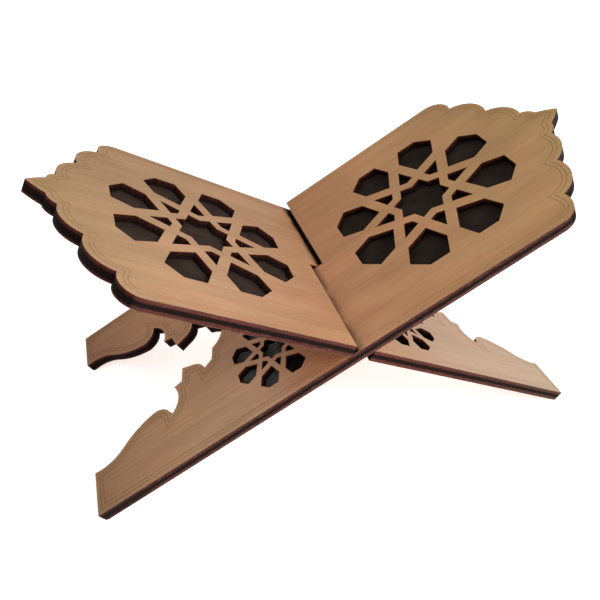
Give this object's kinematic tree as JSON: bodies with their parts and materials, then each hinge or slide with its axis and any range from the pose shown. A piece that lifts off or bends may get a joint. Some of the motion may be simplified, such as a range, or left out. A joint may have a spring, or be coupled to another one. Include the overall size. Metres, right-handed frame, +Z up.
{
  "type": "quran stand",
  "caption": "Folding X-shaped book stand of two slotted planks with geometric fretwork, scalloped ogee tips and arched feet, opening to a V cradle.",
  "frame": {"origin": "on the floor, midway between the feet, under the line where the two planks cross", "axes": "+X to the right, square to the hinge line, from the left feet to the right feet; +Y along the hinge line, away from the viewer; +Z up"},
  "size_m": [0.4006, 0.2, 0.2277],
  "materials": {
    "veneer": "fine straight-grained light brown beech veneer, matte, laser-cut",
    "board": "red-brown fibreboard, its cut edges darkened by the laser",
    "core": "black-stained fibreboard, matte"
  },
  "bodies": {
    "right_plank": {"right_front_veneer": "veneer", "right_front_board": "board", "right_core": "core", "right_back_board": "board", "right_back_veneer": "veneer"},
    "left_plank": {"left_front_veneer": "veneer", "left_front_board": "board", "left_core": "core", "left_back_board": "board", "left_back_veneer": "veneer"}
  },
  "joints": [
    {"name": "crossing_hinge", "type": "hinge", "parent": "right_plank", "child": "left_plank", "pos_m": [0, 0, 0.11443], "axis": [0, 1, 0], "range_deg": [0, 62.5]}
  ]
}
